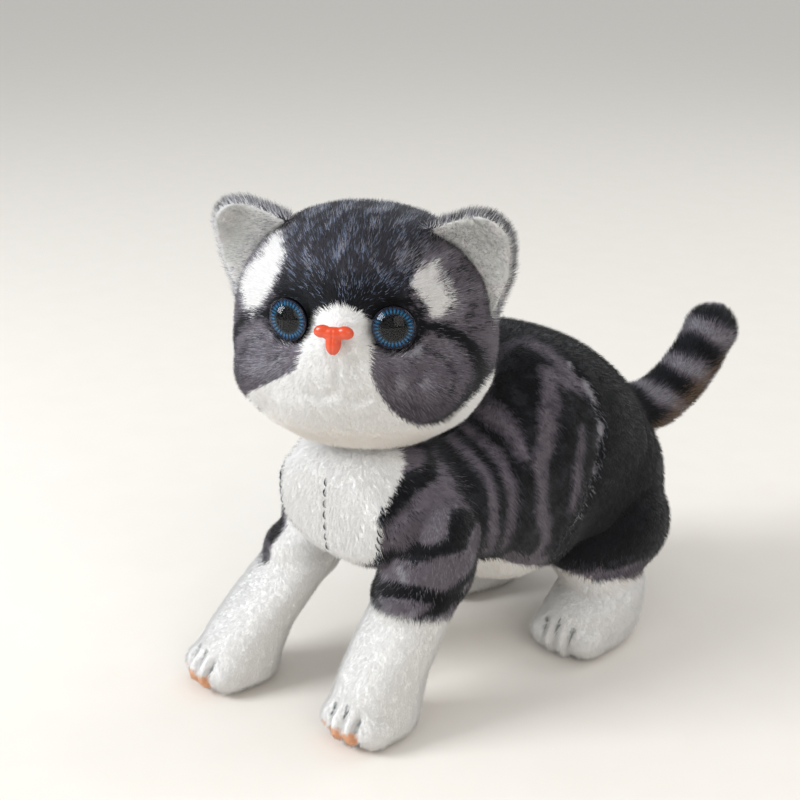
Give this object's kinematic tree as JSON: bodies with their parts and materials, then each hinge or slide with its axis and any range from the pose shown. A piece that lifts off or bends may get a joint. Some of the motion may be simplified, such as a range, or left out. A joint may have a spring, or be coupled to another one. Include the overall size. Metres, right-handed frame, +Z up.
{
  "type": "plush cat",
  "caption": "Stuffed toy kitten standing on four paws, head turned to its left, striped plush coat with white chest and paws, clear domed safety eyes and a moulded nose.",
  "frame": {"origin": "on the ground under the middle of the whole toy, with the soles of the four paws on Z = 0", "axes": "+Z up; the body faces -Y, with the tail towards +Y; +X is the cat's left side"},
  "size_m": [0.1112, 0.273, 0.1995],
  "materials": {
    "charcoal_plush": "short pile plush",
    "grey_plush": "short pile plush",
    "white_plush": "short pile plush",
    "ear_velvet": "velvet",
    "polyester_fill": "loose fibre",
    "dark_thread": "twisted thread",
    "clear_dome": "polished clear plastic",
    "blue_glitter": "glitter foil",
    "black_plastic": "polished",
    "white_plastic": "as moulded",
    "nose_plastic": "polished"
  },
  "bodies": {
    "torso": {"torso_skin": "charcoal_plush", "chest_skin": "white_plush", "belly_skin": "white_plush", "torso_stuffing": "polyester_fill", "chest_stitches": "dark_thread", "shoulder_stitches_left": "dark_thread", "shoulder_stitches_right": "dark_thread", "haunch_stitches_left": "dark_thread", "haunch_stitches_right": "dark_thread"},
    "neck": {"neck_skin": "white_plush", "neck_stuffing": "polyester_fill"},
    "head": {"head_skin": "charcoal_plush", "head_stuffing": "polyester_fill", "eye_dome_left": "clear_dome", "eye_iris_left": "blue_glitter", "eye_pupil_left": "black_plastic", "eye_post_left": "black_plastic", "eye_washer_left": "white_plastic", "eye_dome_right": "clear_dome", "eye_iris_right": "blue_glitter", "eye_pupil_right": "black_plastic", "eye_post_right": "black_plastic", "eye_washer_right": "white_plastic", "nose": "nose_plastic", "nose_washer": "white_plastic"},
    "ear_left": {"ear_outer_left": "charcoal_plush", "ear_inner_left": "ear_velvet"},
    "ear_right": {"ear_outer_right": "charcoal_plush", "ear_inner_right": "ear_velvet"},
    "tail": {"tail_skin": "charcoal_plush", "tail_stuffing": "polyester_fill"},
    "front_leg_left": {"front_sleeve_left": "grey_plush", "front_paw_left": "white_plush", "front_leg_stuffing_left": "polyester_fill"},
    "hind_leg_left": {"haunch_skin_left": "charcoal_plush", "hind_paw_left": "white_plush", "hind_leg_stuffing_left": "polyester_fill"},
    "front_leg_right": {"front_sleeve_right": "grey_plush", "front_paw_right": "white_plush", "front_leg_stuffing_right": "polyester_fill"},
    "hind_leg_right": {"haunch_skin_right": "charcoal_plush", "hind_paw_right": "white_plush", "hind_leg_stuffing_right": "polyester_fill"}
  },
  "joints": [
    {"name": "neck_turn", "type": "hinge", "parent": "torso", "child": "neck", "pos_m": [0, -0.0678, 0.12], "axis": [0, 0, 1], "range_deg": [-18, 14], "stiffness_Nm_per_rad": 1.5},
    {"name": "head_nod", "type": "hinge", "parent": "neck", "child": "head", "pos_m": [0, -0.0678, 0.12], "axis": [0.829, 0.5592, 0], "range_deg": [-8, 10], "stiffness_Nm_per_rad": 2.5},
    {"name": "ear_fold_left", "type": "hinge", "parent": "head", "child": "ear_left", "pos_m": [0.03575, -0.04987, 0.1775], "axis": [0.3642, 0.3508, -0.8627], "range_deg": [-12, 18], "stiffness_Nm_per_rad": 0.03},
    {"name": "ear_fold_right", "type": "hinge", "parent": "head", "child": "ear_right", "pos_m": [-0.04063, -0.10139, 0.1775], "axis": [0.4617, 0.2063, 0.8627], "range_deg": [-12, 18], "stiffness_Nm_per_rad": 0.03},
    {"name": "front_leg_swing_left", "type": "hinge", "parent": "torso", "child": "front_leg_left", "pos_m": [0.031, -0.0708, 0.076], "axis": [1, 0, 0], "range_deg": [-6, 10], "stiffness_Nm_per_rad": 4},
    {"name": "front_leg_swing_right", "type": "hinge", "parent": "torso", "child": "front_leg_right", "pos_m": [-0.031, -0.0708, 0.076], "axis": [1, 0, 0], "range_deg": [-6, 10], "stiffness_Nm_per_rad": 4},
    {"name": "hind_leg_flex_left", "type": "hinge", "parent": "torso", "child": "hind_leg_left", "pos_m": [0.0265, 0.0422, 0.047], "axis": [1, 0, 0], "range_deg": [-6, 5], "stiffness_Nm_per_rad": 4},
    {"name": "hind_leg_flex_right", "type": "hinge", "parent": "torso", "child": "hind_leg_right", "pos_m": [-0.0265, 0.0422, 0.047], "axis": [1, 0, 0], "range_deg": [-6, 5], "stiffness_Nm_per_rad": 4},
    {"name": "tail_sway", "type": "hinge", "parent": "torso", "child": "tail", "pos_m": [0, 0.0782, 0.082], "axis": [0, 0, 1], "range_deg": [-20, 20], "stiffness_Nm_per_rad": 0.3}
  ]
}
